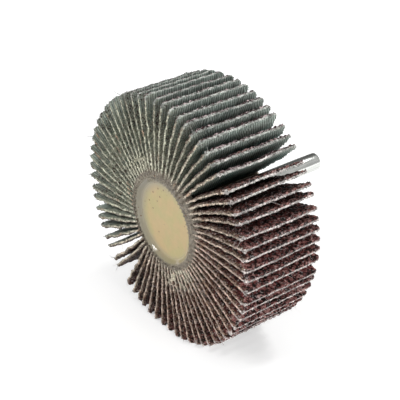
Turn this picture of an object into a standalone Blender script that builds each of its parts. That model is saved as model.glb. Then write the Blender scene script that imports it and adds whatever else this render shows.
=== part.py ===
# A mounted flap wheel: abrasive cloth flaps fanned round a cast resin core on a plain steel spindle.
#
# The wheel spins about the Y axis. The front of the core is a shallow dish, and the origin is the centre of
# its flat floor, which looks along -Y. The spindle leaves at the back along +Y. +Z is up, and the wheel lies on
# its lowest flaps.
# Angles round the wheel are in degrees as seen from the front: 0 along +X, 90 straight up.

import math
import random

import bmesh
import bpy
from mathutils import Vector

# Wheel
WHEEL_RADIUS = 0.040
FLAP_WIDTH = 0.028
FLAP_COUNT = 67

# Flaps: the pack of roots, side by side, sets how big the core is
FLAP_THICKNESS = 0.001
ROOT_GAP = 0.00035
FLAP_CORNER = 0.0015
FLAP_CUTS = 4
CORNER_SEGMENTS = 3
FLAT_ANGLE = 0.01
FIRST_FLAP_ANGLE = 271.65

# Flaps that are pieces of their own. The rest are cast in one with the core, spread evenly round it.
LOOSE_FLAPS = 57
CAST_IN_DEPTH = 0.0002

# How the flaps stray from an even fan, in degrees: at the root as (size, turns, peak), and bent at the tip
ROOT_WANDER = ((0.86, 1, 14), (0.62, 2, 26))
TIP_LEAN_ANGLE = -3.3
TIP_LEAN_WANDER = ((-2.1, 1, 64), (-0.75, 2, 66))
UNEVEN_LEAN_ANGLE = 0.8
UNEVEN_SEED = 11

# Where handling has parted the flaps: the angle of the parting, how far it pushes the nearest tips, its reach
PARTINGS = ((48.7, 2.0, 6), (225.7, 1.7, 12), (236.4, 3.0, 12))

# The soft flaps under the wheel give, so that it lies on a small flat spot
FLAT_SPOT_DEPTH = 0.0005

# Core: the resin is poured from the front, where it creeps up to the flaps and sinks into a dish inside them
SEAT_GAP = 0.0003
DISH_DEPTH = 0.0012
DISH_WALL_WIDTH = 0.0029
RIM_WIDTH = 0.0003
RIM_INSET = 0.0001
DISC_LAP = 0.0015
DISC_THICKNESS = 0.0012
DISC_ROUND_WIDTH = 0.0026
DISC_ROUND_HEIGHT = 0.0009
ROUND_SEGMENTS = 5
CORE_SEGMENTS = 72

# Spindle
SPINDLE_RADIUS = 0.003
SPINDLE_REACH = 0.0345
SPINDLE_CHAMFER = 0.0006
SPINDLE_SEGMENTS = 48
RESIN_AHEAD = 0.0037
KNURL_DEPTH = 0.00025
KNURL_INSET = 0.002
KNURL_RUNOUT = 0.0005

ROOT_RADIUS = FLAP_COUNT * (FLAP_THICKNESS + ROOT_GAP) / math.tau
BARREL_RADIUS = ROOT_RADIUS - SEAT_GAP
DISC_RADIUS = ROOT_RADIUS + DISC_LAP
FLOOR_RADIUS = BARREL_RADIUS - RIM_WIDTH - DISH_WALL_WIDTH
BORE_RADIUS = SPINDLE_RADIUS + SEAT_GAP
REST_HEIGHT = WHEEL_RADIUS - FLAT_SPOT_DEPTH

FLAP_FRONT = -DISH_DEPTH - RIM_INSET
FLAP_BACK = FLAP_FRONT + FLAP_WIDTH
REAR_DISC = FLAP_BACK + SEAT_GAP
CORE_BACK = REAR_DISC + DISC_THICKNESS
SPINDLE_START = RESIN_AHEAD + SEAT_GAP
SPINDLE_TIP = FLAP_BACK + SPINDLE_REACH


def clear_scene():
    for obj in list(bpy.data.objects):
        bpy.data.objects.remove(obj, do_unlink=True)


def make_material(name, color, roughness, metallic=0.0):
    material = bpy.data.materials.new(name)
    material.use_nodes = True
    shader = material.node_tree.nodes["Principled BSDF"]
    shader.inputs["Base Color"].default_value = (*color, 1.0)
    shader.inputs["Roughness"].default_value = roughness
    shader.inputs["Metallic"].default_value = metallic
    return material


def add_object(name, bm, materials, smooth_angle=None):
    mesh = bpy.data.meshes.new(name)
    bmesh.ops.recalc_face_normals(bm, faces=bm.faces)
    bm.to_mesh(mesh)
    bm.free()
    for material in materials:
        mesh.materials.append(material)
    if smooth_angle is not None:
        mesh.shade_smooth()
        mesh.set_sharp_from_angle(angle=math.radians(smooth_angle))
    obj = bpy.data.objects.new(name, mesh)
    bpy.context.scene.collection.objects.link(obj)
    return obj


def waves(parts, angle):
    return sum(size * math.cos(turns * math.radians(angle - peak)) for size, turns, peak in parts)


def parting_push(angle):
    """Degrees that the tip of the flap rooted at this angle is pushed away from the partings near it."""
    push = 0.0
    for place, size, reach in PARTINGS:
        away = (angle - place + 180) % 360 - 180
        push += math.copysign(size * math.exp(-abs(away) / reach), away)
    return push


def flap_angles():
    """The root angle and the tip's lean of every flap, in degrees, counter-clockwise from the lowest one."""
    uneven = random.Random(UNEVEN_SEED)
    angles = []
    for index in range(FLAP_COUNT):
        even = FIRST_FLAP_ANGLE + index * 360 / FLAP_COUNT
        root = even + waves(ROOT_WANDER, even)
        lean = TIP_LEAN_ANGLE + waves(TIP_LEAN_WANDER, even) + parting_push(even)
        lean += uneven.uniform(-UNEVEN_LEAN_ANGLE, UNEVEN_LEAN_ANGLE)
        angles.append((root, lean))
    return angles


def flap_reach(tip_angle):
    """How far a flap's outer edge is from the spin axis. The ones on the flat spot stop level with each other."""
    below = -math.sin(math.radians(tip_angle))
    if below * WHEEL_RADIUS <= REST_HEIGHT:
        return WHEEL_RADIUS
    return REST_HEIGHT / below


def bend_point(radius, across, root, lean):
    """The place in the X-Z plane of a point of the sheet: its middle line turns evenly from root to tip."""
    length = WHEEL_RADIUS - ROOT_RADIUS
    turn = math.radians(lean) / length
    angle = math.radians(root) + turn * (radius - ROOT_RADIUS)
    heading = angle + math.atan(radius * turn)
    x = radius * math.cos(angle) - across * math.sin(heading)
    z = radius * math.sin(angle) + across * math.cos(heading)
    return x, z


def flap_mesh(root, lean, inner_radius):
    """One flap: a blank with rounded outer corners, given its thickness and then bent. The grit is on the
    side that faces counter-clockwise."""
    reach = flap_reach(root + lean)
    bm = bmesh.new()
    outline = [(inner_radius, FLAP_FRONT), (reach, FLAP_FRONT), (reach, FLAP_BACK), (inner_radius, FLAP_BACK)]
    bm.faces.new([bm.verts.new((radius, y, -FLAP_THICKNESS / 2)) for radius, y in outline])
    tips = [vert for vert in bm.verts if vert.co.x > inner_radius + FLAP_CORNER]
    rounded = bmesh.ops.bevel(
        bm,
        geom=tips,
        offset=FLAP_CORNER,
        segments=CORNER_SEGMENTS,
        profile=0.5,
        affect="VERTICES",
        material=-1,
    )
    # Cut across wherever the outline turns too, so that every strip stays flat when the flap is bent.
    spacing = (reach - FLAP_CORNER - inner_radius) / FLAP_CUTS
    places = {round(inner_radius + spacing * cut, 7) for cut in range(1, FLAP_CUTS)}
    places |= {round(vert.co.x, 7) for vert in rounded["verts"]}
    for place in sorted(places):
        bmesh.ops.bisect_plane(
            bm,
            geom=bm.verts[:] + bm.edges[:] + bm.faces[:],
            dist=1e-7,
            plane_co=(place, 0, 0),
            plane_no=(1, 0, 0),
        )
    grown = bmesh.ops.extrude_face_region(bm, geom=bm.faces[:])
    grit_side = [item for item in grown["geom"] if isinstance(item, bmesh.types.BMVert)]
    bmesh.ops.translate(bm, verts=grit_side, vec=(0, 0, FLAP_THICKNESS))
    for face in bm.faces:
        face.material_index = int(all(vert in grit_side for vert in face.verts))
    for vert in bm.verts:
        radius, y, across = vert.co
        x, z = bend_point(radius, across, root, lean)
        if reach < WHEEL_RADIUS and radius > reach - 1e-6:
            z = -REST_HEIGHT
        vert.co = (x, y, z)
    bmesh.ops.connect_verts_nonplanar(bm, angle_limit=math.radians(FLAT_ANGLE), faces=bm.faces[:])
    return bm


def is_cast_in(index):
    """True for the flaps past the number of loose ones, which come evenly round the wheel."""
    spare = max(0, FLAP_COUNT - LOOSE_FLAPS)
    shift = FLAP_COUNT // 2
    return (index * spare + spare + shift) // FLAP_COUNT > (index * spare + shift) // FLAP_COUNT


def revolve(profile, segments):
    """A solid turned about the Y axis from (radius, y) points, closed at both ends by flat faces."""
    bm = bmesh.new()
    line = [bm.verts.new((radius, y, 0)) for radius, y in profile]
    edges = [bm.edges.new(pair) for pair in zip(line, line[1:])]
    bmesh.ops.spin(
        bm, geom=line + edges, cent=(0, 0, 0), axis=(0, 1, 0), angle=math.tau, steps=segments, use_merge=True
    )
    bmesh.ops.holes_fill(bm, edges=[edge for edge in bm.edges if edge.is_boundary], sides=0)
    return bm


def quarter_round(flat_radius, width, rim_y, face_y):
    """Points of a quarter of an ellipse, from a flat face out to where it stands square to it at rim_y."""
    points = []
    for step in range(ROUND_SEGMENTS + 1):
        turn = math.pi / 2 * step / ROUND_SEGMENTS
        radius = flat_radius + width * math.sin(turn)
        points.append((radius, rim_y + (face_y - rim_y) * math.cos(turn)))
    return points


def make_core(cast_in, materials):
    """The resin core: a barrel inside the flaps' roots, dished in front, with a disc behind the roots and a bore
    for the spindle."""
    flat_radius = DISC_RADIUS - DISC_ROUND_WIDTH
    back = quarter_round(flat_radius, DISC_ROUND_WIDTH, CORE_BACK - DISC_ROUND_HEIGHT, CORE_BACK)
    profile = quarter_round(FLOOR_RADIUS, DISH_WALL_WIDTH, -DISH_DEPTH, 0)
    profile += [(BARREL_RADIUS, -DISH_DEPTH), (BARREL_RADIUS, REAR_DISC), (DISC_RADIUS, REAR_DISC)]
    profile += reversed(back)
    profile += [(BORE_RADIUS, CORE_BACK), (BORE_RADIUS, RESIN_AHEAD)]
    core = add_object("resin_core", revolve(profile, CORE_SEGMENTS), materials, smooth_angle=35)
    if cast_in:
        union = core.modifiers.new("cast_in_flaps", "BOOLEAN")
        union.operation = "UNION"
        union.solver = "EXACT"
        union.object = cast_in
    return core


def make_spindle(material):
    """The steel pin. Straight knurling on its inner end keeps it from turning in the resin."""
    knurl = (SPINDLE_START + KNURL_INSET, CORE_BACK - KNURL_INSET)
    profile = [(SPINDLE_RADIUS - SPINDLE_CHAMFER, SPINDLE_START)]
    profile.append((SPINDLE_RADIUS, SPINDLE_START + SPINDLE_CHAMFER))
    profile += [(SPINDLE_RADIUS, knurl[0]), (SPINDLE_RADIUS, knurl[0] + KNURL_RUNOUT)]
    profile += [(SPINDLE_RADIUS, knurl[1] - KNURL_RUNOUT), (SPINDLE_RADIUS, knurl[1])]
    profile.append((SPINDLE_RADIUS, SPINDLE_TIP - SPINDLE_CHAMFER))
    profile.append((SPINDLE_RADIUS - SPINDLE_CHAMFER, SPINDLE_TIP))
    bm = revolve(profile, SPINDLE_SEGMENTS)
    shrink = 1 - KNURL_DEPTH / SPINDLE_RADIUS
    for vert in bm.verts:
        turn = math.atan2(vert.co.z, vert.co.x) / math.tau * SPINDLE_SEGMENTS
        if knurl[0] + KNURL_RUNOUT / 2 < vert.co.y < knurl[1] - KNURL_RUNOUT / 2 and round(turn) % 2:
            vert.co = Vector((vert.co.x * shrink, vert.co.y, vert.co.z * shrink))
    return add_object("spindle", bm, [material], smooth_angle=35)


def make_flaps(materials):
    """Every loose flap as an object, and the cast-in ones together as a hidden guide for the core's union."""
    cast_in = bmesh.new()
    number = 0
    for index, (root, lean) in enumerate(flap_angles()):
        if is_cast_in(index):
            flap = flap_mesh(root, lean, BARREL_RADIUS - CAST_IN_DEPTH)
            mesh = bpy.data.meshes.new("cast_in_flap")
            flap.to_mesh(mesh)
            flap.free()
            cast_in.from_mesh(mesh)
            bpy.data.meshes.remove(mesh)
            continue
        number += 1
        add_object(f"flap_{number:02d}", flap_mesh(root, lean, ROOT_RADIUS), materials, smooth_angle=35)
    if not cast_in.faces:
        cast_in.free()
        return None
    guide = add_object("cast_in_flaps", cast_in, materials)
    guide.hide_render = True
    guide.display_type = "WIRE"
    return guide


def main():
    clear_scene()
    cloth = make_material("cloth_backing", (0.22, 0.26, 0.21), 0.85)
    grit = make_material("abrasive_grit", (0.13, 0.05, 0.045), 0.7)
    resin = make_material("cast_resin", (0.58, 0.46, 0.24), 0.3)
    steel = make_material("ground_steel", (0.72, 0.72, 0.70), 0.22, metallic=1.0)
    cast_in = make_flaps([cloth, grit])
    make_core(cast_in, [resin])
    make_spindle(steel)


main()
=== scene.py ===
# Mounted flap wheel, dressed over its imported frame: gritted cloth flaps round a cast resin core on a
# steel spindle. It spins about Y and its front looks along -Y. +Z is up, and it lies on its lowest flaps.
import math
import random
from types import SimpleNamespace

import bmesh
import bpy
import numpy as np
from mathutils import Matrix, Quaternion, Vector


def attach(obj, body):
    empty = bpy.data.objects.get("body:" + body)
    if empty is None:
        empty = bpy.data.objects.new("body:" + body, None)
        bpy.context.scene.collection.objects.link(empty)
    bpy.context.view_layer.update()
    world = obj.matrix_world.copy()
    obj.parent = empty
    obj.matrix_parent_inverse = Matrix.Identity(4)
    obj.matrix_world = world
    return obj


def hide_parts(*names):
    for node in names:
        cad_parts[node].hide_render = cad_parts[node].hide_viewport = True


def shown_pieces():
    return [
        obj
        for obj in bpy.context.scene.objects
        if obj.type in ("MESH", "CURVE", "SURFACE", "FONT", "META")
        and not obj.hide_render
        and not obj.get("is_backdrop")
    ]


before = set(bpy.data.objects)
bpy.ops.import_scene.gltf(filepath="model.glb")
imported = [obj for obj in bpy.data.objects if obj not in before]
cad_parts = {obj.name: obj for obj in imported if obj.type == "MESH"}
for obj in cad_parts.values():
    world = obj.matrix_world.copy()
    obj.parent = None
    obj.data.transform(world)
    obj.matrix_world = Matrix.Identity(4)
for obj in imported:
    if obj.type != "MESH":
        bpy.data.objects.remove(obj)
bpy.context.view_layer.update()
print("frame loaded:", len(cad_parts), "nodes")


# where everything stands, as in the part's source, in metres and degrees. A wave is its size, how many
# times it goes round, and where it peaks; a parting is its place, its push and its reach.
wheel = {
    "radius": 0.040,
    "restHeight": 0.0395,
    "flapCount": 67,
    "looseFlaps": 57,
    "flapWidth": 0.028,
    "flapFront": -0.0013,
    "flapThickness": 0.001,
    "rootSpacing": 0.00135,
    "firstAngle": 271.65,
    "rootWander": ((0.86, 1, 14), (0.62, 2, 26)),
    "tipLean": -3.3,
    "leanWander": ((-2.1, 1, 64), (-0.75, 2, 66)),
    "leanSpread": 0.8,
    "leanSeed": 11,
    "partings": ((48.7, 2.0, 6), (225.7, 1.7, 12), (236.4, 3.0, 12)),
    "straighterBack": 2.0,
}
wheel["rootRadius"] = wheel["flapCount"] * wheel["rootSpacing"] / math.tau
wheel["flapLength"] = wheel["radius"] - wheel["rootRadius"]


def waves(parts, angle):
    return sum(size * math.cos(turns * math.radians(angle - peak)) for size, turns, peak in parts)


def partingPush(angle):
    push = 0.0
    for place, size, reach in wheel["partings"]:
        away = (angle - place + 180) % 360 - 180
        push += math.copysign(size * math.exp(-abs(away) / reach), away)
    return push


def flapAngles():
    # root angle and lean at the tip of every flap, counter-clockwise from the lowest one
    uneven = random.Random(wheel["leanSeed"])
    angles = []
    for index in range(wheel["flapCount"]):
        even = wheel["firstAngle"] + index * 360 / wheel["flapCount"]
        root = even + waves(wheel["rootWander"], even)
        lean = wheel["tipLean"] + waves(wheel["leanWander"], even) + partingPush(even)
        angles.append((root, lean + uneven.uniform(-wheel["leanSpread"], wheel["leanSpread"])))
    return angles


def flapReach(tipAngle):
    # the flaps on the flat spot stop level with each other
    below = -math.sin(math.radians(tipAngle))
    if below * wheel["radius"] <= wheel["restHeight"]:
        return wheel["radius"]
    return wheel["restHeight"] / below


def isCastIn(index):
    # the flaps that have no solid of their own are spread evenly round the wheel
    count = wheel["flapCount"]
    spare = count - wheel["looseFlaps"]
    before = index * spare + count // 2
    return (before + spare) // count > before // count


def addObject(name, data):
    made = bpy.data.objects.new(name, data)
    bpy.context.scene.collection.objects.link(made)
    return made


def takeMesh(bm, name):
    mesh = bpy.data.meshes.new(name)
    bm.to_mesh(mesh)
    bm.free()
    return mesh


# shader helpers
def plug(tree, socket, value):
    if isinstance(value, bpy.types.NodeSocket):
        tree.links.new(value, socket)
    elif isinstance(value, tuple) and len(value) == 3 and socket.type == "RGBA":
        socket.default_value = (*value, 1.0)
    else:
        socket.default_value = value


def calc(tree, operation, *values, clamp=False):
    made = tree.nodes.new("ShaderNodeMath")
    made.operation = operation
    made.use_clamp = clamp
    for socket, value in zip(made.inputs, values):
        plug(tree, socket, value)
    return made.outputs[0]


def times(tree, first, second):
    return calc(tree, "MULTIPLY", first, second)


def plus(tree, first, second, clamp=False):
    return calc(tree, "ADD", first, second, clamp=clamp)


def minus(tree, first, second):
    return calc(tree, "SUBTRACT", first, second)


def oneLess(tree, value, clamp=False):
    return calc(tree, "SUBTRACT", 1.0, value, clamp=clamp)


def over(tree, first, second, clamp=False):
    return calc(tree, "DIVIDE", first, second, clamp=clamp)


def fade(tree, value, start, end):
    # 0 below start and 1 above end, eased
    made = tree.nodes.new("ShaderNodeMapRange")
    made.interpolation_type = "SMOOTHSTEP"
    plug(tree, made.inputs["Value"], value)
    plug(tree, made.inputs["From Min"], start)
    plug(tree, made.inputs["From Max"], end)
    return made.outputs["Result"]


def spread(tree, value, low, high):
    # 0 to 1 becomes low to high
    made = tree.nodes.new("ShaderNodeMapRange")
    plug(tree, made.inputs["Value"], value)
    plug(tree, made.inputs["To Min"], low)
    plug(tree, made.inputs["To Max"], high)
    return made.outputs["Result"]


def mixColor(tree, factor, first, second, kind="MIX"):
    made = tree.nodes.new("ShaderNodeMix")
    made.data_type = "RGBA"
    made.blend_type = kind
    plug(tree, made.inputs[0], factor)
    plug(tree, made.inputs[6], first)
    plug(tree, made.inputs[7], second)
    return made.outputs[2]


def tone(tree, color, value):
    # a colour made lighter or darker by a value
    made = tree.nodes.new("ShaderNodeVectorMath")
    made.operation = "SCALE"
    plug(tree, made.inputs[0], color)
    plug(tree, made.inputs["Scale"], value)
    return made.outputs[0]


def ramp(tree, value, stops):
    made = tree.nodes.new("ShaderNodeValToRGB")
    band = made.color_ramp
    while len(band.elements) < len(stops):
        band.elements.new(0.5)
    for element, (place, color) in zip(band.elements, stops):
        element.position = place
        element.color = (*color, 1.0)
    plug(tree, made.inputs[0], value)
    return made.outputs[0]


def noise(tree, vector, scale, detail=2.0, roughness=0.5):
    made = tree.nodes.new("ShaderNodeTexNoise")
    plug(tree, made.inputs["Vector"], vector)
    plug(tree, made.inputs["Scale"], scale)
    made.inputs["Detail"].default_value = detail
    made.inputs["Roughness"].default_value = roughness
    return made.outputs["Fac"]


def cellNoise(tree, vector, scale):
    # the distance to the middle of each cell, and three random numbers of its own
    made = tree.nodes.new("ShaderNodeTexVoronoi")
    plug(tree, made.inputs["Vector"], vector)
    plug(tree, made.inputs["Scale"], scale)
    split = tree.nodes.new("ShaderNodeSeparateColor")
    tree.links.new(made.outputs["Color"], split.inputs[0])
    return made.outputs["Distance"], split.outputs


def placeInMm(tree):
    # Object coordinates in millimetres, their X, Y and Z, and the radius from the spin axis
    place = tree.nodes.new("ShaderNodeTexCoord")
    scaled = tree.nodes.new("ShaderNodeVectorMath")
    scaled.operation = "SCALE"
    scaled.inputs["Scale"].default_value = 1000
    tree.links.new(place.outputs["Object"], scaled.inputs[0])
    split = tree.nodes.new("ShaderNodeSeparateXYZ")
    tree.links.new(scaled.outputs[0], split.inputs[0])
    x, y, z = split.outputs
    radius = calc(tree, "SQRT", plus(tree, times(tree, x, x), times(tree, z, z)))
    return SimpleNamespace(point=scaled.outputs[0], x=x, y=y, z=z, radius=radius)


def combine(tree, x, y, z):
    made = tree.nodes.new("ShaderNodeCombineXYZ")
    for socket, value in zip(made.inputs, (x, y, z)):
        plug(tree, socket, value)
    return made.outputs[0]


def bump(tree, height, distance, strength=1.0):
    made = tree.nodes.new("ShaderNodeBump")
    made.inputs["Distance"].default_value = distance
    made.inputs["Strength"].default_value = strength
    plug(tree, made.inputs["Height"], height)
    return made.outputs["Normal"]


def newGroup(name, inputs, outputs):
    tree = bpy.data.node_groups.new(name, "ShaderNodeTree")
    for label, value in inputs.items():
        socket = tree.interface.new_socket(label, in_out="INPUT", socket_type="NodeSocketFloat")
        socket.default_value = value
    for label in outputs:
        tree.interface.new_socket(label, in_out="OUTPUT", socket_type="NodeSocketFloat")
    start = tree.nodes.new("NodeGroupInput")
    end = tree.nodes.new("NodeGroupOutput")
    return tree, start.outputs, end.inputs


def useGroup(tree, group, **values):
    made = tree.nodes.new("ShaderNodeGroup")
    made.node_tree = group
    for label, value in values.items():
        plug(tree, made.inputs[label], value)
    return made.outputs


def newMaterial(name):
    material = bpy.data.materials.new(name)
    material.use_nodes = True
    return material, material.node_tree, material.node_tree.nodes["Principled BSDF"].inputs


# effects that several finishes share
def makeResinSoak():
    # where resin has crept up the flaps from the core, furthest at the upper right, with a jagged front
    tree, given, out = newGroup("resinSoak", {"Reach": 16.4, "Blur": 1.0}, ["Mask"])
    at = placeInMm(tree)
    toward = over(tree, calc(tree, "MULTIPLY_ADD", at.z, 0.77, times(tree, at.x, 0.64)), at.radius)
    ragged = times(tree, minus(tree, noise(tree, at.point, 0.6, 3.0, 0.65), 0.5), 6.5)
    reach = calc(tree, "MULTIPLY_ADD", toward, 1.9, given["Reach"])
    edge = minus(tree, reach, ragged)
    mask = over(tree, minus(tree, edge, at.radius), given["Blur"], clamp=True)
    tree.links.new(mask, out["Mask"])
    return tree


def makeRoundTheWheel():
    # a patchy mask that is strongest round one angle, in degrees from +X toward +Z
    tree, given, out = newGroup("roundTheWheel", {"Centre": 0.0}, ["Near"])
    at = placeInMm(tree)
    away = minus(tree, calc(tree, "ARCTAN2", at.z, at.x), calc(tree, "RADIANS", given["Centre"]))
    drift = times(tree, calc(tree, "COSINE", away), 0.7)
    patch = times(tree, minus(tree, noise(tree, at.point, 0.16), 0.5), 0.8)
    total = plus(tree, plus(tree, drift, patch), 0.42, clamp=True)
    tree.links.new(total, out["Near"])
    return tree


def makeLooseFibre():
    # short twisted fibres: a tone for the colour, speckles of darker grit dust, and a height for the bump
    tree, given, out = newGroup("looseFibre", {"Scale": 2.0}, ["Tone", "Speck", "Height"])
    at = placeInMm(tree)
    coarse = noise(tree, at.point, given["Scale"], 3.0, 0.7)
    fine = noise(tree, at.point, times(tree, given["Scale"], 2.7), 2.0, 0.6)
    both = plus(tree, times(tree, coarse, 0.6), times(tree, fine, 0.4))
    tree.links.new(fade(tree, both, 0.34, 0.66), out["Tone"])
    speck = noise(tree, at.point, times(tree, given["Scale"], 1.3))
    tree.links.new(fade(tree, speck, 0.55, 0.63), out["Speck"])
    tree.links.new(fine, out["Height"])
    return tree


def makeGritGrain():
    # one tone to each grain, its height, and a mask of the few grains that glint
    tree, given, out = newGroup("gritGrain", {"Grain": 0.45}, ["Tone", "Glint", "Height"])
    at = placeInMm(tree)
    distance, own = cellNoise(tree, at.point, over(tree, 1.0, given["Grain"]))
    tree.links.new(own[0], out["Tone"])
    tree.links.new(fade(tree, own[1], 0.9, 0.93), out["Glint"])
    tree.links.new(oneLess(tree, distance, clamp=True), out["Height"])
    return tree


def makeHubDust():
    # pale fluff that lies among the flaps' roots, at the upper left and the lower right of the hub
    tree, given, out = newGroup("hubDust", {"Reach": 18.0}, ["Mask"])
    at = placeInMm(tree)
    across = over(tree, calc(tree, "MULTIPLY_ADD", at.x, -0.47, times(tree, at.z, 0.88)), at.radius)
    upright = calc(tree, "POWER", across, 6.0)
    byTheHub = oneLess(tree, fade(tree, at.radius, given["Reach"], plus(tree, given["Reach"], 6.0)))
    clump = fade(tree, noise(tree, at.point, 0.7, 3.0, 0.6), 0.40, 0.54)
    mask = times(tree, times(tree, upright, byTheHub), clump)
    tree.links.new(mask, out["Mask"])
    return tree


resinSoak = makeResinSoak()
hubDust = makeHubDust()
roundTheWheel = makeRoundTheWheel()
looseFibre = makeLooseFibre()
gritGrain = makeGritGrain()
pinkSide = -42.0  # the dust drifts from khaki at the upper left to pink at this angle
soakedColor = (0.222, 0.192, 0.148)
fluffColor = (0.74, 0.71, 0.56)


def soakThrough(tree, color, share, reach, blur):
    # a colour with the resin that has crept into it, and where that is
    soaked = useGroup(tree, resinSoak, Reach=reach, Blur=blur)["Mask"]
    return mixColor(tree, times(tree, soaked, share), color, soakedColor), soaked


def addFluff(tree, color, mask, share, light):
    return mixColor(tree, times(tree, mask, share), color, tone(tree, fluffColor, light))


def setFinish(tree, shader, color, roughness, specular, normal):
    plug(tree, shader["Base Color"], color)
    plug(tree, shader["Roughness"], roughness)
    shader["Specular IOR Level"].default_value = specular
    plug(tree, shader["Normal"], normal)


def nearAngle(tree, degrees):
    return useGroup(tree, roundTheWheel, Centre=degrees)["Near"]


def flapValue(tree, name):
    # each flap carries flapTone, one random number of its own, and rise, how far a point stands out
    made = tree.nodes.new("ShaderNodeAttribute")
    made.attribute_name = name
    return made.outputs["Fac"]


# cloth: the ribbed back of a flap and its cut edges
cloth = {
    "thickness": 0.00042,
    "cuts": (12, 160, 6),  # rows, columns, and extra points along each side of a row
    "ribs": 34,
    "ribSlant": 0.45,  # how far the ribs' colour leans on the upper right flaps
    "ribHeight": 0.00008,
    "cornerRadius": 0.0012,
    "cornerZone": 0.003,
    "fray": 0.00012,
    "puff": 0.00024,
    "fullness": (0.75, -0.35, -42),  # of the cut edges: its mean, its swing and the angle it swings about
    "tipLift": 0.00035,
    "tipWave": 0.00012,
    "ripple": 0.00006,
    "rippleReach": 0.22,
    "seed": 4100,
    "tealGrey": (0.064, 0.100, 0.087),
    "plainGrey": (0.140, 0.166, 0.146),
    "wornGrey": (0.315, 0.355, 0.322),
    "khakiDust": (0.47, 0.475, 0.345),
    "edgeKhaki": (0.535, 0.54, 0.42),
    "edgePink": (0.760, 0.590, 0.490),
    "edgeRust": (0.42, 0.285, 0.195),
    "tipGrey": (0.46, 0.475, 0.440),
    "tipCream": (0.78, 0.71, 0.68),
    "gritDust": (0.050, 0.026, 0.022),
}


def makeRibbedCloth():
    material, tree, shader = newMaterial("ribbedCloth")
    at = placeInMm(tree)
    own = flapValue(tree, "flapTone")
    front = wheel["flapFront"] * 1000
    turns = math.tau * cloth["ribs"] / (wheel["flapWidth"] * 1000)
    upperRight = fade(tree, nearAngle(tree, 24.0), 0.75, 1.0)
    slant = times(tree, minus(tree, at.radius, 40.0), times(tree, upperRight, cloth["ribSlant"]))
    along = plus(tree, minus(tree, at.y, front), slant)
    wave = calc(tree, "COSINE", times(tree, along, turns))
    # streaks run along the ribs, so the noise is long in the radius and short across
    acrossY = times(tree, at.y, 1.5)
    streak = noise(tree, combine(tree, acrossY, times(tree, at.radius, 0.16), own), 1.0, 3.0, 0.65)
    fibre = useGroup(tree, looseFibre, Scale=2.6)
    broad = combine(tree, times(tree, at.y, 0.11), times(tree, at.radius, 0.13), times(tree, own, 40))
    patch = noise(tree, broad, 1.0, 1.0)
    color = mixColor(tree, fade(tree, patch, 0.36, 0.6), cloth["tealGrey"], cloth["plainGrey"])
    color = mixColor(tree, times(tree, fade(tree, at.radius, 32.0, 40.0), 0.62), color, cloth["wornGrey"])
    # painted shade: the colour is darker along each rib's groove, where the geometry is sunk
    ribbed = calc(tree, "MULTIPLY_ADD", wave, -0.45, 0.94)
    light = times(tree, ribbed, spread(tree, fade(tree, streak, 0.3, 0.7), 0.66, 1.4))
    light = times(tree, light, spread(tree, fibre["Tone"], 0.76, 1.28))
    light = times(tree, light, spread(tree, own, 0.82, 1.18))
    leftward = fade(tree, nearAngle(tree, 180.0), 0.5, 1.0)
    light = times(tree, light, spread(tree, leftward, 1.0, 1.18))
    # painted light: the cloth of the upper right flaps is made up to 1.6 times lighter
    light = times(tree, light, spread(tree, upperRight, 1.0, 1.6))
    color = tone(tree, color, light)
    # khaki dust and specks of grit on the front few millimetres
    pink = nearAngle(tree, pinkSide)
    nearFront = oneLess(tree, fade(tree, at.y, front, front + 5.5))
    dusty = times(tree, nearFront, oneLess(tree, pink, clamp=True))
    dusty = times(tree, dusty, spread(tree, fade(tree, at.radius, 28.0, 37.0), 1.0, 0.45))
    blotch = fade(tree, noise(tree, at.point, 1.5, 3.0, 0.7), 0.42, 0.60)
    dusty = times(tree, dusty, spread(tree, blotch, 0.15, 1.0))
    khaki = tone(tree, cloth["khakiDust"], spread(tree, fibre["Tone"], 0.6, 1.4))
    color = mixColor(tree, dusty, color, khaki)
    specks = fade(tree, noise(tree, at.point, 1.2, 2.0, 0.6), 0.55, 0.61)
    specks = calc(tree, "MAXIMUM", specks, fibre["Speck"])
    here = fade(tree, noise(tree, at.point, 0.11, 1.0), 0.42, 0.58)
    specks = times(tree, specks, times(tree, nearFront, here))
    color = mixColor(tree, specks, color, cloth["gritDust"])
    fluff = times(tree, useGroup(tree, hubDust, Reach=19.0)["Mask"], nearFront)
    color = addFluff(tree, color, fluff, 0.75, spread(tree, fibre["Tone"], 0.3, 1.1))
    color, soaked = soakThrough(tree, color, 0.8, 16.2, 1.6)
    cross = calc(tree, "COSINE", times(tree, at.radius, math.tau / 0.5))
    height = plus(tree, times(tree, cross, 0.18), times(tree, fibre["Height"], 0.7))
    weave = bump(tree, height, 0.00008, 0.8)
    setFinish(tree, shader, color, spread(tree, soaked, 0.88, 0.45), 0.3, weave)
    return material


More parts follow.
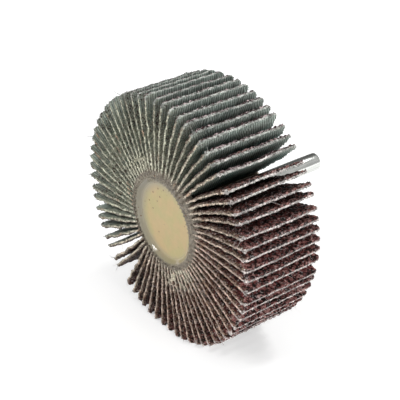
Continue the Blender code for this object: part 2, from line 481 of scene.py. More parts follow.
def makeCutEdge():
    material, tree, shader = newMaterial("cutEdge")
    at = placeInMm(tree)
    fibre = useGroup(tree, looseFibre, Scale=1.5)
    pink = nearAngle(tree, pinkSide)
    front = mixColor(tree, pink, cloth["edgeKhaki"], cloth["edgePink"])
    rust = fade(tree, noise(tree, combine(tree, at.x, 0.0, at.z), 0.16, 2.0), 0.61, 0.66)
    front = mixColor(tree, times(tree, rust, 0.8), front, cloth["edgeRust"])
    tip = mixColor(tree, fade(tree, pink, 0.25, 0.75), cloth["tipGrey"], cloth["tipCream"])
    color = mixColor(tree, fade(tree, at.radius, 37.4, 39.2), front, tip)
    uneven = fade(tree, noise(tree, at.point, 0.6, 2.0), 0.35, 0.62)
    light = times(tree, spread(tree, fibre["Tone"], 0.45, 1.3), spread(tree, uneven, 0.55, 1.2))
    color = tone(tree, color, light)
    color = tone(tree, color, spread(tree, flapValue(tree, "flapTone"), 0.84, 1.16))
    color = mixColor(tree, times(tree, fibre["Speck"], 0.8), color, cloth["gritDust"])
    fluff = useGroup(tree, hubDust)["Mask"]
    color = addFluff(tree, color, fluff, 0.9, spread(tree, fibre["Tone"], 0.6, 1.2))
    color, soaked = soakThrough(tree, color, 0.75, 15.8, 1.2)
    fuzz = bump(tree, fibre["Height"], 0.00015, 0.9)
    setFinish(tree, shader, color, spread(tree, soaked, 0.92, 0.5), 0.25, fuzz)
    return material


# grit: the coat of abrasive grain on the other side
grit = {
    "cuts": (53, 62, 0),
    "base": 0.00016,
    "grainHeight": 0.00076,
    "setBack": 0.00004,
    "sunk": 0.00005,
    "jitter": 0.00015,
    "clumps": 40,
    "colors": (
        (0.0, (0.004, 0.001, 0.0)),
        (0.38, (0.007, 0.002, 0.001)),
        (0.48, (0.054, 0.006, 0.007)),
        (0.60, (0.134, 0.020, 0.021)),
        (0.72, (0.240, 0.068, 0.063)),
        (0.85, (0.420, 0.235, 0.215)),
        (1.0, (0.700, 0.570, 0.530)),
    ),
    "khakiDust": (0.26, 0.255, 0.19),
    "sandDust": (0.33, 0.225, 0.155),
    "brownDust": (0.064, 0.052, 0.034),
    "pinkDust": (0.42, 0.30, 0.27),
    "endBrown": (0.090, 0.050, 0.036),
    "edgeDark": (0.020, 0.006, 0.007),
    "edgePale": (0.50, 0.41, 0.41),
    "glint": (0.66, 0.58, 0.57),
}


def makeGritCoat():
    material, tree, shader = newMaterial("gritCoat")
    at = placeInMm(tree)
    front = wheel["flapFront"] * 1000
    grain = useGroup(tree, gritGrain, Grain=0.75)
    small = useGroup(tree, gritGrain, Grain=0.34)
    pink = nearAngle(tree, pinkSide)
    rise = flapValue(tree, "rise")
    grainToneAndPitShade = calc(tree, "MULTIPLY_ADD", grain["Tone"], 0.5, times(tree, small["Tone"], 0.22))
    # painted shade: points low between the grains get darker colours and the peaks lighter ones
    grainToneAndPitShade = calc(tree, "MULTIPLY_ADD", rise, 0.3, grainToneAndPitShade)
    color = ramp(tree, grainToneAndPitShade, grit["colors"])
    brown = tone(tree, grit["brownDust"], spread(tree, fade(tree, grainToneAndPitShade, 0.25, 0.9), 0.05, 2.0))
    color = mixColor(tree, calc(tree, "MULTIPLY_ADD", pink, -0.55, 0.6, clamp=True), color, brown)
    # painted shade: the coat is darker toward the roots, and darker on the flaps away from the pink side
    paintedRootShade = spread(tree, fade(tree, at.radius, 31.0, 39.0), 0.6, 1.14)
    color = tone(tree, color, times(tree, paintedRootShade, spread(tree, fade(tree, pink, 0.35, 0.95), 0.7, 1.04)))
    # pale dust gathers toward the outer edge, and on the front ends of the coat
    nearTip = times(tree, fade(tree, at.radius, 36.5, 40.0), fade(tree, grainToneAndPitShade, 0.4, 0.8))
    color = mixColor(tree, times(tree, nearTip, spread(tree, pink, 0.08, 0.4)), color, grit["pinkDust"])
    # on the upper flaps only the outer edge of the coat shows: dark grains with pale points
    upper = fade(tree, nearAngle(tree, 96.0), 0.80, 0.94)
    lit = calc(tree, "MULTIPLY_ADD", grain["Tone"], 0.6, times(tree, small["Tone"], 0.4))
    edgeGrain = mixColor(tree, fade(tree, lit, 0.60, 0.80), grit["edgeDark"], grit["edgePale"])
    atEdge = times(tree, times(tree, upper, 0.9), fade(tree, at.radius, 37.0, 39.0))
    color = mixColor(tree, atEdge, color, edgeGrain)
    frontEnd = oneLess(tree, fade(tree, at.y, front, front + 1.6))
    dustColor = mixColor(tree, pink, grit["khakiDust"], grit["sandDust"])
    browned = tone(tree, grit["endBrown"], spread(tree, small["Tone"], 0.4, 1.5))
    color = mixColor(tree, times(tree, frontEnd, 0.6), color, browned)
    color = mixColor(tree, times(tree, frontEnd, fade(tree, small["Tone"], 0.66, 0.95)), color, dustColor)
    fluff = times(tree, useGroup(tree, hubDust, Reach=19.0)["Mask"], frontEnd)
    color = addFluff(tree, color, fluff, 0.75, spread(tree, small["Tone"], 0.2, 1.1))
    color = mixColor(tree, times(tree, small["Glint"], 0.4), color, grit["glint"])
    color = soakThrough(tree, color, 0.8, 15.8, 1.6)[0]
    grainy = bump(tree, small["Height"], 0.00012, 0.6)
    setFinish(tree, shader, color, spread(tree, small["Tone"], 0.85, 0.35), 0.28, grainy)
    return material


# threads and tufts that stand out of the cut edges. upTo: the last thread of the outer, the front and the
# back edge. tuftsUpTo: the last tuft of the front corner and the outer edge, the rest are on the front edge.
threads = {
    "count": 16,
    "upTo": (7, 11, 12),
    "sides": 3,
    "cuts": 3,
    "radius": (0.00005, 0.00010),
    "length": (0.0004, 0.0013),
    "longLength": (0.0016, 0.0030),
    "longShare": 0.05,
    "sunk": 0.0001,
    "tufts": 9,
    "tuftsUpTo": (5, 7),
    "tuftRadius": (0.00022, 0.00050),
    "fluff": (0.4, 0.75, 10),  # the tufts' least size, what is added, and the angle where that is most
    "hubTuft": 0.00044,
    "hubTuftAngles": (120, 132, 288),
    "hubTuftReach": 10,
}

# the numbers that the vertices of each part of a flap carry
clothPart, gritPart, firstThread, firstTuft = 1, 2, 10, 100
innerCuts = 7  # the inner side of a sheet is cut into this many strips each way
touching = 1e-6  # metres


def addSlab(bm, part, number, cuts, corner, opposite, outerSide, innerSide, slots):
    # a closed slab in the flat: X along the flap from its root, Y across, Z through its thickness
    length, width = opposite[0] - corner[0], opposite[1] - corner[1]
    sheet = bmesh.ops.create_grid(bm, x_segments=cuts[0], y_segments=cuts[1], size=0.5)["verts"]
    bmesh.ops.scale(bm, verts=sheet, vec=(length, width, 1))
    bmesh.ops.translate(bm, verts=sheet, vec=(corner[0] + length / 2, corner[1] + width / 2, outerSide))
    border = freshEdges(bm, part, lambda edge: edge.is_boundary)
    if cuts[2]:
        # more points along the front and back borders, so that they can fray
        sides = [edge for edge in border if abs(edge.verts[0].co.y - edge.verts[1].co.y) < touching]
        bmesh.ops.subdivide_edges(bm, edges=sides, cuts=cuts[2])
        border = freshEdges(bm, part, lambda edge: edge.is_boundary)
    for face in freshFaces(bm, part):
        face.material_index = slots[0]
        face.smooth = number == clothPart
    made = bmesh.ops.extrude_edge_only(bm, edges=border)["geom"]
    lower = [item for item in made if isinstance(item, bmesh.types.BMVert)]
    bmesh.ops.translate(bm, verts=lower, vec=(0, 0, innerSide - outerSide))
    rim = freshEdges(bm, part, lambda edge: edge.is_boundary)
    inner = bmesh.ops.contextual_create(bm, geom=rim)["faces"]
    # the inner side is cut both ways, so that it can follow the bend and the waves
    shares = [step / innerCuts for step in range(1, innerCuts)]
    cutPlaces = [((corner[0] + length * share, 0, 0), (1, 0, 0)) for share in shares]
    cutPlaces += [((0, corner[1] + width * share, 0), (0, 1, 0)) for share in shares]
    for place, direction in cutPlaces:
        near = set(inner) | {edge for face in inner for edge in face.edges}
        near |= {vert for face in inner for vert in face.verts}
        bmesh.ops.bisect_plane(bm, geom=list(near), dist=touching, plane_co=place, plane_no=direction)
        inner = [face for face in bm.faces if not any(vert[part] for vert in face.verts)
                 and all(abs(vert.co.z - innerSide) < touching for vert in face.verts)]
    for face in freshFaces(bm, part):
        if any(abs(vert.co.z - innerSide) < touching for vert in face.verts):
            face.material_index = slots[1]
            face.smooth = False
    markFresh(bm, part, number)


def freshEdges(bm, part, wanted=lambda edge: True):
    # edges of the piece under way, whose vertices have no number yet
    return [edge for edge in bm.edges if not edge.verts[0][part] and wanted(edge)]


def freshFaces(bm, part):
    return {face for edge in freshEdges(bm, part) for face in edge.link_faces}


def markFresh(bm, part, number):
    for vert in bm.verts:
        if not vert[part]:
            vert[part] = number


def addThread(bm, part, number):
    # one straight thread from x = 0 to 1 with a radius of 1, which each flap places and curls
    bmesh.ops.create_cone(bm, cap_ends=True, segments=threads["sides"], radius1=1, radius2=1, depth=1)
    long = freshEdges(bm, part, lambda edge: abs(edge.verts[0].co.z - edge.verts[1].co.z) > 0.5)
    bmesh.ops.subdivide_edges(bm, edges=long, cuts=threads["cuts"])
    for face in freshFaces(bm, part):
        face.material_index = 1
        face.smooth = True
    for vert in bm.verts:
        if not vert[part]:
            vert.co = (vert.co.z + 0.5, vert.co.x, vert.co.y)
    markFresh(bm, part, number)


def addTuft(bm, part, number):
    # a ball, which each flap places and roughens
    bmesh.ops.create_icosphere(bm, subdivisions=2, radius=1)
    for face in freshFaces(bm, part):
        face.material_index = 1
    markFresh(bm, part, number)


def makeFlapBlank():
    bm = bmesh.new()
    part = bm.verts.layers.int.new("part")
    length, width = wheel["flapLength"], wheel["flapWidth"]
    half, back = wheel["flapThickness"] / 2, grit["setBack"]
    seam = cloth["thickness"] - half
    addSlab(bm, part, clothPart, cloth["cuts"], (0, 0), (length, width), -half, seam, (0, 1))
    gritSides = (seam + grit["base"], seam - grit["sunk"])
    addSlab(bm, part, gritPart, grit["cuts"], (0, back), (length - back, width - back), *gritSides, (2, 2))
    for number in range(threads["count"]):
        addThread(bm, part, firstThread + number)
    for number in range(threads["tufts"]):
        addTuft(bm, part, firstTuft + number)
    bmesh.ops.recalc_face_normals(bm, faces=bm.faces)
    return takeMesh(bm, "flapBlank")


def frayCloth(flat, chosen, rng, fullness):
    # ribs on the outer side, and borders where every rib and yarn ends a little differently
    length, width = wheel["flapLength"], wheel["flapWidth"]
    s, y, t = flat[chosen].T.copy()
    outerSide = t < -wheel["flapThickness"] / 2 + touching
    rib = y / width * cloth["ribs"]
    t[outerSide] += cloth["ribHeight"] * (0.5 + 0.5 * np.cos(math.tau * rib[outerSide]))
    atTip, atFront, atBack = s > length - touching, y < touching, y > width - touching
    ribEnds = rng.normal(0, cloth["fray"], cloth["ribs"] + 2)
    yarnEnds = rng.normal(0, cloth["fray"] * 0.8, cloth["cuts"][1] + 1)
    column = np.rint(y / width * cloth["cuts"][1]).astype(int)
    uneven = ribEnds[np.rint(rib).astype(int)] + yarnEnds[column] * np.where(outerSide, 1, 0.4)
    s[atTip] += uneven[atTip]
    stations = 200
    station = np.rint(s / length * stations).astype(int) % stations
    for border, outward in ((atFront, -1), (atBack, 1)):
        ragged = np.abs(rng.normal(0, cloth["fray"] * 1.5, stations))
        y[border] += outward * ragged[station[border]] * np.where(outerSide[border], 0.6, 1)
    # the cut yarns puff up along every border
    edges = atTip | atFront | atBack
    puffed = np.abs(rng.normal(0, cloth["puff"] * fullness, edges.sum()))
    t[edges] += puffed * np.where(outerSide[edges], -1, 0.5)
    s = length * (1 - (1 - np.clip(s / length, 0, 1)) ** 1.5) + np.maximum(s - length, 0)
    flat[chosen] = np.column_stack((s, y, t))


def growGrit(flat, chosen, rng):
    # every point of the coat is the peak of a grain or the pit between two, and it is thinner at the root
    length, width = wheel["flapLength"], wheel["flapWidth"]
    s, y, t = flat[chosen].T.copy()
    count = len(s)
    outerSide = t > cloth["thickness"] - wheel["flapThickness"] / 2 + touching
    border = grit["setBack"] + touching
    atTip, atFront, atBack = s > length - border, y < border, y > width - border
    inside = ~(atTip | atFront | atBack | (s < touching)) & outerSide
    row = np.rint(s / length * grit["cuts"][0]).astype(int)
    column = np.rint(y / width * grit["cuts"][1]).astype(int)
    tile = grit["clumps"]
    clumps = rng.random((tile, tile))[(row + column // 7 % 2) // 2 % tile, column // 2 % tile]
    grains = (0.45 * rng.random(count) + 0.55 * clumps) ** 1.25
    t[outerSide] += (grains * grit["grainHeight"] * (0.5 + 0.5 * np.clip(s / length, 0, 1)))[outerSide]
    s[inside] += rng.uniform(-1, 1, inside.sum()) * grit["jitter"]
    y[inside] += rng.uniform(-1, 1, inside.sum()) * grit["jitter"]
    ragged = rng.uniform(-1.0, 0.9, count) * grit["jitter"]
    s[atTip] += ragged[atTip]
    y[atFront] -= ragged[atFront]
    y[atBack] += ragged[atBack]
    flat[chosen] = np.column_stack((s, y, t))
    return np.where(outerSide, grains, 0.3)


def roundCorners(flat):
    # the outer corners are rounded by drawing the last few millimetres of width inwards
    length, width, radius = wheel["flapLength"], wheel["flapWidth"], cloth["cornerRadius"]
    into = np.clip(flat[:, 0] - (length - radius), 0, radius)
    drawn = radius - np.sqrt(radius**2 - into**2)
    middle = flat[:, 1] - width / 2
    out = np.clip((np.abs(middle) - (width / 2 - cloth["cornerZone"])) / cloth["cornerZone"], 0, 1)
    flat[:, 1] -= np.sign(middle) * drawn * out


def placeThreads(flat, parts, rng, fluff, byTheHub):
    length, width = wheel["flapLength"], wheel["flapWidth"]
    corner = cloth["cornerRadius"] * 0.4
    middle = (cloth["thickness"] - wheel["flapThickness"]) / 2
    sunk = threads["sunk"]
    tip, front, back = threads["upTo"]
    for number in range(threads["count"]):
        chosen = parts == firstThread + number
        along, a, b = flat[chosen].T
        spot = rng.random()
        if number < tip:
            anchor = (length - sunk, corner + spot * (width - 2 * corner), middle)
            aim = (0.7, rng.uniform(-0.9, 0.9), rng.uniform(-0.8, 0.8))
        elif number < front:
            anchor = (length * (0.15 + 0.8 * spot), sunk, middle)
            aim = (rng.uniform(-0.4, 0.9), -0.7, rng.uniform(-0.8, 0.8))
        elif number < back:
            anchor = (length * (0.2 + 0.75 * spot), width - sunk, middle)
            aim = (rng.uniform(-0.4, 0.9), 0.7, rng.uniform(-0.8, 0.8))
        else:
            anchor = (length - corner * rng.uniform(0.3, 2), corner * rng.uniform(0.3, 2), middle)
            aim = (rng.uniform(0.1, 0.9), rng.uniform(-0.9, -0.1), rng.uniform(-0.8, 0.8))
        aim = np.array(aim) / np.linalg.norm(aim)
        long = rng.random() < threads["longShare"]
        reach = rng.uniform(*threads["longLength" if long else "length"])
        thick = rng.uniform(*threads["radius"]) * (1.25 if long else 1)
        curl = rng.normal(0, 0.35, 3)
        side = np.cross(aim, [0.3, 0.2, 0.9])
        side /= np.linalg.norm(side)
        other = np.cross(aim, side)
        centre = anchor + reach * (along[:, None] * aim + along[:, None] ** 2 * curl)
        slim = (thick * (1 - 0.55 * along))[:, None]
        flat[chosen] = centre + slim * (a[:, None] * side + b[:, None] * other)
    atCorner, onTip = threads["tuftsUpTo"]
    for number in range(threads["tufts"]):
        chosen = parts == firstTuft + number
        size = rng.uniform(*threads["tuftRadius"]) * fluff
        if number < atCorner:
            fromTip, fromFront = corner * rng.uniform(0.2, 2.6), corner * rng.uniform(0.2, 1.8)
            anchor = (length - fromTip, fromFront, middle + rng.uniform(-0.0003, 0.0005))
        elif number < onTip:
            anchor = (length - sunk, rng.uniform(0.03, 0.97) * width, middle)
            size *= 0.6
        else:
            anchor = (length * rng.uniform(0.15, 0.95), sunk / 2, middle)
            size *= 0.55
        if byTheHub and number >= atCorner - 1:  # these lie on the flaps' roots instead
            anchor = (anchor[0] * 0.16 + 0.0018, -sunk, middle)
            size = threads["hubTuft"] * rng.uniform(0.4, 1.5)
        ball = flat[chosen] * (1 + rng.uniform(-0.5, 0.5, chosen.sum()))[:, None]
        flat[chosen] = anchor + ball * size * rng.uniform(0.55, 1.2, 3)


def warpSheet(flat, rng):
    # cloth is never quite flat: the outer edge waves across the width, and the front edge along the radius
    length, width = wheel["flapLength"], wheel["flapWidth"]
    outward = np.clip(flat[:, 0] / length, 0, 1.1)
    across = np.clip(flat[:, 1] / width, 0, 1)
    wave = rng.uniform(-1, 1) * cloth["tipLift"] * (across - 0.1)
    for turns in (1, 2, 3):
        size = cloth["tipWave"] / turns * rng.normal()
        wave += size * np.sin(math.pi * turns * across + rng.uniform(0, math.tau))
    flat[:, 2] += wave * outward**1.5
    for place in (0.0, 1.0):
        near = np.exp(-np.abs(across - place) / cloth["rippleReach"])
        ripple = 0
        for turns in (1.7, 3.3, 5.2):
            size = cloth["ripple"] * rng.normal()
            ripple += size * np.sin(outward * math.tau * turns + rng.uniform(0, math.tau))
        flat[:, 2] += near * ripple * np.clip(outward * 4, 0, 1)


def bendSheet(flat, root, lean):
    # the middle of the sheet turns evenly from its root to its tip, and the grit faces counter-clockwise
    length = wheel["flapLength"]
    turn = math.radians(lean) / length
    radius = flat[:, 0] + wheel["rootRadius"]
    angle = math.radians(root) + turn * flat[:, 0]
    # toward the back the flaps are bent less
    belly = np.sin(math.pi * np.clip(flat[:, 0] / length, 0, 1))
    belly *= np.clip(flat[:, 1] / wheel["flapWidth"], 0, 1)
    angle -= math.radians(wheel["straighterBack"]) * belly
    heading = angle + np.arctan(radius * turn)
    x = radius * np.cos(angle) - flat[:, 2] * np.sin(heading)
    z = radius * np.sin(angle) + flat[:, 2] * np.cos(heading)
    # and nothing of them goes through the ground
    z = np.maximum(z, -wheel["restHeight"])
    return np.column_stack((x, flat[:, 1] + wheel["flapFront"], z))


def makeFlap(blank, name, index, root, lean, materials):
    rng = np.random.default_rng(cloth["seed"] + index)
    mesh = blank.copy()
    mesh.name = name
    count = len(mesh.vertices)
    flat = np.empty(count * 3, np.float32)
    mesh.vertices.foreach_get("co", flat)
    flat = flat.reshape(-1, 3).astype(float)
    parts = np.empty(count, np.int32)
    mesh.attributes["part"].data.foreach_get("value", parts)
    # the cut edges are fullest at the upper left
    mean, swing, about = cloth["fullness"]
    fullness = mean + swing * math.cos(math.radians(root + lean - about))
    frayCloth(flat, parts == clothPart, rng, fullness)
    rise = np.full(count, 0.5, np.float32)
    rise[parts == gritPart] = growGrit(flat, parts == gritPart, rng)
    roundCorners(flat)
    # the tufts are largest on the right, where the flaps have been handled most
    least, added, most = threads["fluff"]
    fluff = least + added * max(0.0, math.cos(math.radians(root + lean - most)))
    aways = [abs((root - place + 180) % 360 - 180) for place in threads["hubTuftAngles"]]
    byTheHub = min(aways) < threads["hubTuftReach"]
    placeThreads(flat, parts, rng, fluff, byTheHub)
    warpSheet(flat, rng)
    reach = flapReach(root + lean) - wheel["rootRadius"]
    flat[:, 0] *= reach / wheel["flapLength"]
    mesh.vertices.foreach_set("co", bendSheet(flat, root, lean).astype(np.float32).ravel())
    mesh.attributes.remove(mesh.attributes["part"])
    own = np.full(count, rng.random(), np.float32)
    for label, values in (("flapTone", own), ("rise", rise)):
        mesh.attributes.new(label, "FLOAT", "POINT").data.foreach_set("value", values)
    for material in materials:
        mesh.materials.append(material)
    mesh.update()
    flap = addObject(name, mesh)
    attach(flap, "root")
    return flap


def makeFlaps():
    materials = [makeRibbedCloth(), makeCutEdge(), makeGritCoat()]
    blank = makeFlapBlank()
    loose = 0
    for index, (root, lean) in enumerate(flapAngles()):
        flap = makeFlap(blank, f"gritFlap_{index + 1:02d}", index, root, lean, materials)
        if isCastIn(index):
            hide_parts("resin_core")
        else:
            loose += 1
            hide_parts(f"flap_{loose:02d}")
    print("flaps:", wheel["flapCount"], "of", len(blank.vertices), "vertices each")
    bpy.data.meshes.remove(blank)


def finishTurned(bm, name, materials, smoothAngle):
    bmesh.ops.remove_doubles(bm, verts=bm.verts, dist=touching)
    bmesh.ops.recalc_face_normals(bm, faces=bm.faces)
    mesh = takeMesh(bm, name)
    for material in materials:
        mesh.materials.append(material)
    mesh.shade_smooth()
    mesh.set_sharp_from_angle(angle=math.radians(smoothAngle))
    piece = addObject(name, mesh)
    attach(piece, "root")
    return piece


def turnProfile(profile, steps):
    # a profile of (radius, y) points, turned round the Y axis
    bm = bmesh.new()
    line = [bm.verts.new((radius, y, 0)) for radius, y in profile]
    edges = [bm.edges.new(pair) for pair in zip(line, line[1:])]
    bmesh.ops.spin(
        bm, geom=line + edges, cent=(0, 0, 0), axis=(0, 1, 0), angle=math.tau, steps=steps, use_merge=True
    )
    return bm


# core: resin poured between the flaps' roots, sunk into a dish in front
resinCore = {
    "steps": 268,
    "barrelRadius": 0.014096,
    "dishWall": (0.0121, 0.01385),
    "dishDepth": 0.0012,
    "dishSteps": 12,
    "discFront": 0.0270,
    "discRadius": 0.015896,
    "discThickness": 0.0012,
    "discRound": (0.0026, 0.0009),
    "bore": 0.0033,
    "boreStart": 0.0037,
    "meniscus": (
        (0.0042, 0.00004), (0.0037, 0.00016), (0.0033, 0.00042),
        (0.00303, 0.0008), (0.00303, -0.0004), (0.0033, -0.0008),
    ),
    "creep": (0.01435, 0.0146, 0.0149, 0.0152, 0.0155, 0.0158, 0.0161, 0.0164, 0.0167),
    "creepBack": (0.0168, 0.0018),
    "creepEnd": 0.0034,
    "creepWidth": 0.0026,
    "creepProud": 0.00035,
    "creepDrop": 0.0021,
    "creepRough": 0.00036,
    "rimRough": 0.00014,
    "creepMore": (0.0021, 48),  # how much further it reaches, and at what angle
    "scallop": 0.00026,
    "seed": 77,
    "tan": (0.500, 0.366, 0.172),
    "greenTan": (0.450, 0.376, 0.162),
    "rimGrey": (0.285, 0.262, 0.198),
    "pitBrown": (0.15, 0.065, 0.022),
}


def makeCastResin():
    material, tree, shader = newMaterial("castResin")
    at = placeInMm(tree)
    cloud = noise(tree, at.point, 0.16, 2.0, 0.5)
    color = mixColor(tree, fade(tree, cloud, 0.38, 0.62), resinCore["greenTan"], resinCore["tan"])
    color = tone(tree, color, spread(tree, noise(tree, at.point, 0.7, 3.0, 0.6), 0.93, 1.07))
    # the resin thins out up the wall of the dish, and the grey cloth shows through; the grey is also painted
    # shade on the wall
    wander = times(tree, minus(tree, noise(tree, at.point, 0.3, 2.0), 0.5), 2.4)
    # and the grey reaches further in on the left than on the right, as painted shade on the left wall
    leftward = calc(tree, "MULTIPLY_ADD", at.x, -1.2, times(tree, at.z, 0.25))
    lopsided = over(tree, leftward, plus(tree, at.radius, 0.1))
    seenAt = plus(tree, times(tree, wander, 0.5), plus(tree, at.radius, lopsided))
    thinResinAndShade = fade(tree, seenAt, 9.4, 14.4)
    color = mixColor(tree, thinResinAndShade, color, resinCore["rimGrey"])
    soaked = fade(tree, calc(tree, "MULTIPLY_ADD", wander, 0.25, at.radius), 13.3, 14.3)
    fibre = useGroup(tree, looseFibre, Scale=1.3)
    mottle = spread(tree, fade(tree, noise(tree, at.point, 1.1, 2.0), 0.36, 0.64), 0.78, 1.22)
    crust = tone(tree, soakedColor, times(tree, mottle, spread(tree, fibre["Tone"], 0.75, 1.25)))
    crust = mixColor(tree, times(tree, fibre["Speck"], 0.35), crust, cloth["gritDust"])
    color = mixColor(tree, soaked, color, crust)
    # a few small pits of air
    distance, own = cellNoise(tree, at.point, 0.7)
    crowded = fade(tree, calc(tree, "MULTIPLY_ADD", at.x, -0.9, at.z), 2.0, 9.0)
    few = calc(tree, "GREATER_THAN", own[0], spread(tree, crowded, 0.78, 0.32))
    near = over(tree, distance, spread(tree, own[1], 0.09, 0.22))
    pit = times(tree, oneLess(tree, fade(tree, near, 0.6, 1.3)), few)
    color = mixColor(tree, times(tree, pit, 0.8), color, resinCore["pitBrown"])
    wet = calc(tree, "MULTIPLY_ADD", fade(tree, at.radius, 11.5, 12.8), -0.24, 0.34)
    roughness = calc(tree, "MULTIPLY_ADD", soaked, 0.34, wet)
    ripple = minus(tree, times(tree, noise(tree, at.point, 0.5, 2.0), 0.8), pit)
    height = plus(tree, ripple, times(tree, soaked, times(tree, fibre["Height"], 2.0)))
    setFinish(tree, shader, color, roughness, 0.5, bump(tree, height, 0.00012, 0.6))
    return material


def makeCore():
    core = resinCore
    front = [(0.0, 0.0), (0.0035, 0.0), (0.0070, 0.0)]
    wallStart, wallEnd = core["dishWall"]
    for step in range(core["dishSteps"] + 1):
        share = step / core["dishSteps"]
        rise = core["dishDepth"] * share**2 * (3 - 2 * share)
        front.append((wallStart + (wallEnd - wallStart) * share, -rise))
    front.append((core["barrelRadius"], -core["dishDepth"] + 0.00002))
    # between the flaps' roots it has crept outwards, falling away from their front edges
    for place, radius in enumerate(core["creep"]):
        fallen = core["creepDrop"] * (place / (len(core["creep"]) - 1)) ** 3
        front.append((radius, wheel["flapFront"] - core["creepProud"] * min(1.0, place / 2) + fallen))
    front += [core["creepBack"], (core["barrelRadius"], core["creepEnd"])]
    rearFace = core["discFront"] + core["discThickness"]
    across, down = core["discRound"]
    rear = [(core["barrelRadius"], core["discFront"]), (core["discRadius"], core["discFront"])]
    for step in range(9):
        turn = math.pi / 2 * (1 - step / 8)
        inward, forward = across * (1 - math.sin(turn)), down * (1 - math.cos(turn))
        rear.append((core["discRadius"] - inward, rearFace - forward))
    # the resin climbs a little where the spindle leaves it
    rear += [(0.009, rearFace), (0.005, rearFace)]
    rear += [(radius, rearFace + climbed) for radius, climbed in core["meniscus"]]
    rear += [(core["bore"], core["boreStart"]), (0.0, core["boreStart"])]
    bm = turnProfile(front + rear, core["steps"])
    # the front's rim is scalloped by the flaps' roots, and rough where the resin has crept out
    rng = np.random.default_rng(core["seed"])
    more, place = core["creepMore"]
    for vert in bm.verts:
        x, y, z = vert.co
        radius, angle = math.hypot(x, z), math.atan2(z, x)
        if y > 0.01 or radius < core["barrelRadius"] - 0.0005:
            continue
        scallop = core["scallop"] * math.cos(wheel["flapCount"] * angle) * rng.uniform(0.3, 1.4)
        share = max(0.0, (radius - core["barrelRadius"]) / core["creepWidth"])
        facing = math.cos(angle - math.radians(place))
        grown = 1 + (scallop + share * more * facing) / radius
        lift = rng.uniform(-0.8, 1.0) * core["creepRough"] * min(1.0, 0.3 + share * 4)
        lift += scallop * 0.8 - share**3 * max(0.0, facing) * core["creepDrop"] * 0.6
        grown += rng.uniform(-1, 1) * (core["rimRough"] + core["creepRough"] * min(1.0, share * 2)) / radius
        vert.co = (x * grown, y + lift, z * grown)
    piece = finishTurned(bm, "resinCasting", [makeCastResin()], 40)
    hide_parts("resin_core")
    print("core:", len(piece.data.polygons), "faces")


# spindle: ground and polished steel, knurled where it sits in the resin
spindlePin = {
    "steps": 96,
    "radius": 0.003,
    "start": 0.0040,
    "tip": 0.0612,
    "chamfer": 0.0006,
    "knurl": (0.0060, 0.0262),
    "knurlDepth": 0.00025,
    "knurlRunIn": 0.0005,
    "plainRings": (0.040, 0.055),
    "steel": (0.80, 0.82, 0.78),
}


def makeGroundSteel():
    material, tree, shader = newMaterial("groundSteel")
    at = placeInMm(tree)
    angle = calc(tree, "ARCTAN2", at.z, at.x)
    # grinding leaves fine rings round the pin, and handling a few faint smears along it
    ringed = combine(tree, times(tree, at.y, 9.0), times(tree, at.radius, 7.0), 0.0)
    rings = noise(tree, ringed, 1.0, 3.0, 0.7)
    smear = noise(tree, at.point, 0.35, 3.0, 0.6)
    along = combine(tree, times(tree, angle, 5.0), times(tree, at.y, 0.06), 0.0)
    drawn = noise(tree, along, 1.0, 3.0, 0.6)
    onSide = fade(tree, at.radius, 2.3, 2.7)
    streaks = calc(tree, "MULTIPLY_ADD", times(tree, minus(tree, drawn, 0.5), onSide), 0.9, 0.95)
    shade = times(tree, spread(tree, smear, 0.84, 1.12), streaks)
    roughness = plus(tree, spread(tree, rings, 0.10, 0.26), spread(tree, smear, -0.04, 0.08))
    shader["Metallic"].default_value = 1.0
    brushed = bump(tree, rings, 0.000006, 0.5)
    setFinish(tree, shader, tone(tree, spindlePin["steel"], shade), roughness, 0.5, brushed)
    return material


def makeSpindle():
    pin = spindlePin
    radius, chamfer = pin["radius"], pin["chamfer"]
    profile = [(0.0, pin["start"]), (radius - chamfer, pin["start"]), (radius, pin["start"] + chamfer)]
    knurlStart, knurlEnd, runIn = *pin["knurl"], pin["knurlRunIn"]
    rings = (knurlStart, knurlStart + runIn, knurlEnd - runIn, knurlEnd, *pin["plainRings"])
    profile += [(radius, y) for y in rings]
    for step in range(5):
        turn = math.pi / 2 * step / 4
        inward, onward = chamfer * (1 - math.cos(turn)), chamfer * math.sin(turn)
        profile.append((radius - inward, pin["tip"] - chamfer + onward))
    profile.append((0.0, pin["tip"]))
    bm = turnProfile(profile, pin["steps"])
    shrink = 1 - pin["knurlDepth"] / radius
    for vert in bm.verts:
        x, y, z = vert.co
        groove = round(math.atan2(z, x) / math.tau * pin["steps"]) % 4
        if knurlStart + touching < y < knurlEnd - touching and groove > 1:
            vert.co = (x * shrink, y, z * shrink)
    piece = finishTurned(bm, "steelSpindle", [makeGroundSteel()], 50)
    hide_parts("spindle")
    print("spindle:", len(piece.data.polygons), "faces")


# studio: a pale floor, soft light and the camera
studio = {
    "camera": (0.2197, -0.1555, 0.1720),
    "look": (-0.6764, 0.5197, -0.5219),
    "tilt": 0.32,
    "lens": 95.6,
    "world": 0.45,
    "reflected": (0.11, 0.54),
    "floor": (0.80, 0.80, 0.80),
    "floorLift": (0.36, 0.75),
    "horizon": (130, 700),  # millimetres
    "lights": (
        ("keyLight", (-0.18, -0.62, 0.58), 0.29, 3.6),
        ("sideLight", (0.85, 0.05, 0.30), 0.40, 3.0),
        ("topLight", (0.07, 0.56, 0.90), 0.36, 3.6),
        ("frontLight", (0.62, -0.44, 0.56), 0.12, 0.8),
    ),
}


def addLight(name, place, size, power):
    data = bpy.data.lights.new(name, "AREA")
    data.shape = "DISK"
    data.size = size
    data.energy = power
    lamp = addObject(name, data)
    lamp.location = place
    lamp.rotation_euler = (-Vector(place)).to_track_quat("-Z", "Y").to_euler()


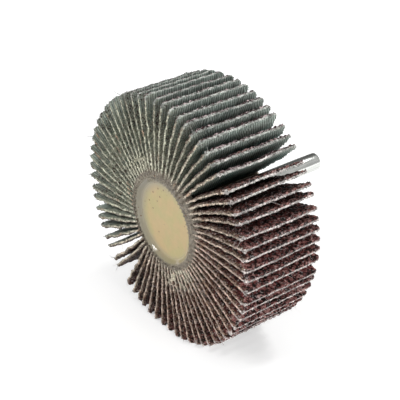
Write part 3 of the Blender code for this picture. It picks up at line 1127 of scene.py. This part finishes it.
def makeFloor():
    bm = bmesh.new()
    bmesh.ops.create_grid(bm, x_segments=1, y_segments=1, size=4)
    bmesh.ops.translate(bm, verts=bm.verts, vec=(0, 0, -wheel["restHeight"]))
    mesh = takeMesh(bm, "floor")
    material, tree, shader = newMaterial("paleFloor")
    shader["Base Color"].default_value = (*studio["floor"], 1.0)
    shader["Roughness"].default_value = 0.9
    shader["Specular IOR Level"].default_value = 0.1
    # the camera sees it lifted to white, and from below it isn't there
    rays = tree.nodes.new("ShaderNodeLightPath").outputs
    seen = calc(tree, "MAXIMUM", rays["Is Camera Ray"], rays["Is Glossy Ray"])
    shader["Emission Color"].default_value = (1, 1, 1, 1)
    at = placeInMm(tree)
    away = calc(tree, "SQRT", plus(tree, times(tree, at.x, at.x), times(tree, at.y, at.y)))
    lift = spread(tree, fade(tree, away, *studio["horizon"]), *studio["floorLift"])
    plug(tree, shader["Emission Strength"], times(tree, seen, lift))
    under = tree.nodes.new("ShaderNodeNewGeometry").outputs["Backfacing"]
    clear = tree.nodes.new("ShaderNodeBsdfTransparent")
    choose = tree.nodes.new("ShaderNodeMixShader")
    tree.links.new(under, choose.inputs[0])
    tree.links.new(tree.nodes["Principled BSDF"].outputs[0], choose.inputs[1])
    tree.links.new(clear.outputs[0], choose.inputs[2])
    tree.links.new(choose.outputs[0], tree.nodes["Material Output"].inputs["Surface"])
    mesh.materials.append(material)
    addObject("floor", mesh)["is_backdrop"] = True


def makeWorld():
    world = bpy.data.worlds.new("studioWorld")
    world.use_nodes = True
    tree = world.node_tree
    background = tree.nodes["Background"]
    rays = tree.nodes.new("ShaderNodeLightPath").outputs
    background.inputs["Color"].default_value = (1, 1, 1, 1)
    # what polished steel reflects is darker to the left than to the right
    split = tree.nodes.new("ShaderNodeSeparateXYZ")
    tree.links.new(tree.nodes.new("ShaderNodeTexCoord").outputs["Generated"], split.inputs[0])
    mirrored = spread(tree, fade(tree, split.outputs["X"], -0.7, 0.55), *studio["reflected"])
    dim = spread(tree, rays["Is Glossy Ray"], studio["world"], mirrored)
    plug(tree, background.inputs["Strength"], spread(tree, rays["Is Camera Ray"], dim, 1.0))
    bpy.context.scene.world = world


def makeStudio():
    makeFloor()
    makeWorld()
    for light in studio["lights"]:
        addLight(*light)
    data = bpy.data.cameras.new("camera")
    data.lens = studio["lens"]
    data.sensor_width = 36
    data.clip_start, data.clip_end = 0.01, 20
    camera = addObject("camera", data)
    camera.location = studio["camera"]
    aim = Vector(studio["look"]).to_track_quat("-Z", "Y")
    camera.rotation_euler = (aim @ Quaternion((0, 0, 1), math.radians(studio["tilt"]))).to_euler()
    bpy.context.scene.camera = camera
    bpy.context.scene.view_settings.view_transform = "Standard"
    print("studio:", len(studio["lights"]), "lights and the camera")


makeFlaps()
makeCore()
makeSpindle()
makeStudio()
bpy.context.view_layer.update()
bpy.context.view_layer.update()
faces = [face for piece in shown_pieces() if piece.type == "MESH" for face in piece.data.polygons]
print("triangles:", sum(len(face.vertices) - 2 for face in faces))
